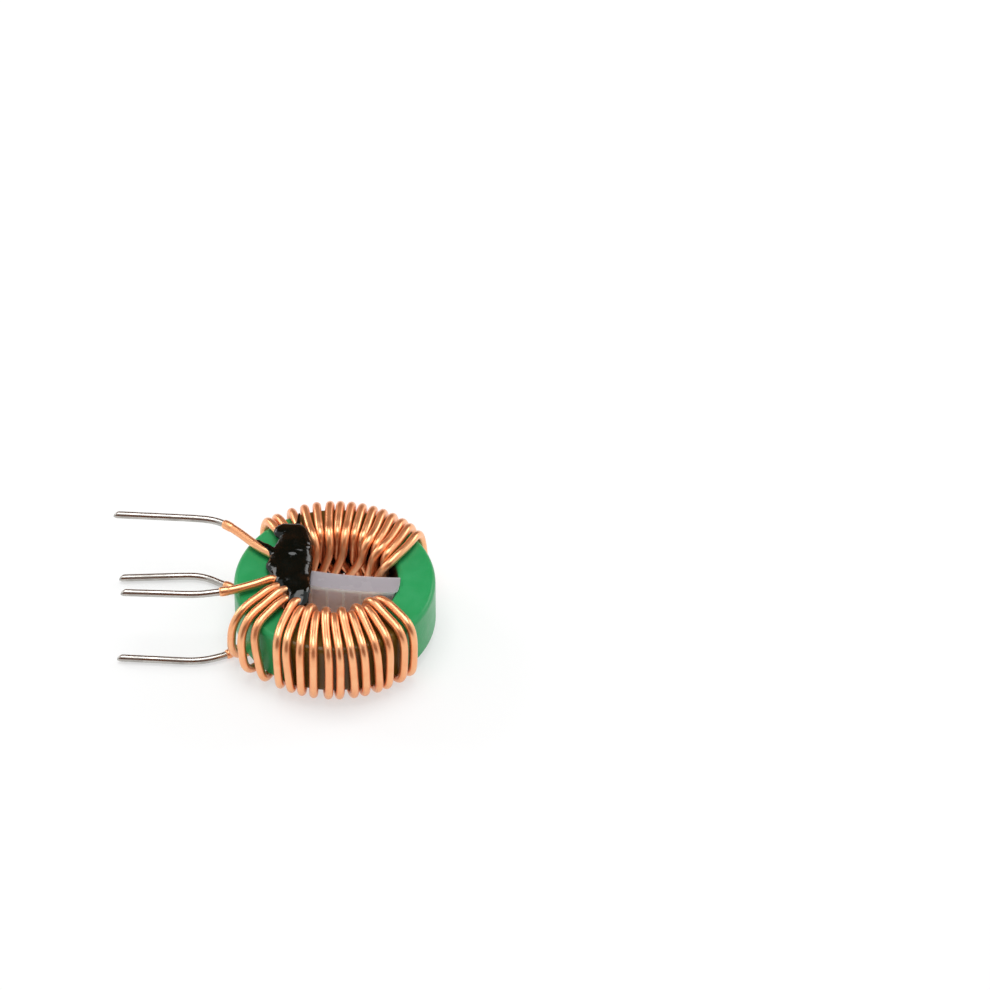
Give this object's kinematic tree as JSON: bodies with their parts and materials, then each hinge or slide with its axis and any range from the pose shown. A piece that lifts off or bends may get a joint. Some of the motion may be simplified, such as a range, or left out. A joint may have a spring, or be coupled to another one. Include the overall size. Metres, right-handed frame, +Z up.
{
  "type": "toroidal common-mode inductor",
  "caption": "Toroidal common-mode inductor: green coated ferrite ring, two opposed copper windings with tinned leads, a ribbed divider strip and black fixing glue.",
  "frame": {"origin": "on the table under the middle of the part's outer box, where its lowest turns rest", "axes": "+X from the leads towards the ring, +Y towards the back winding, +Z up along the ring's axis"},
  "size_m": [0.0356, 0.0249, 0.0096],
  "materials": {
    "core_coating": "satin",
    "enamelled_copper": "gloss",
    "tinned": "satin",
    "divider": "satin",
    "glue": "gloss"
  },
  "bodies": {
    "root": {"ferrite_core": "core_coating", "front_winding": "enamelled_copper", "back_winding": "enamelled_copper", "divider": "divider", "top_glue": "glue", "bottom_glue": "glue"}
  },
  "joints": []
}
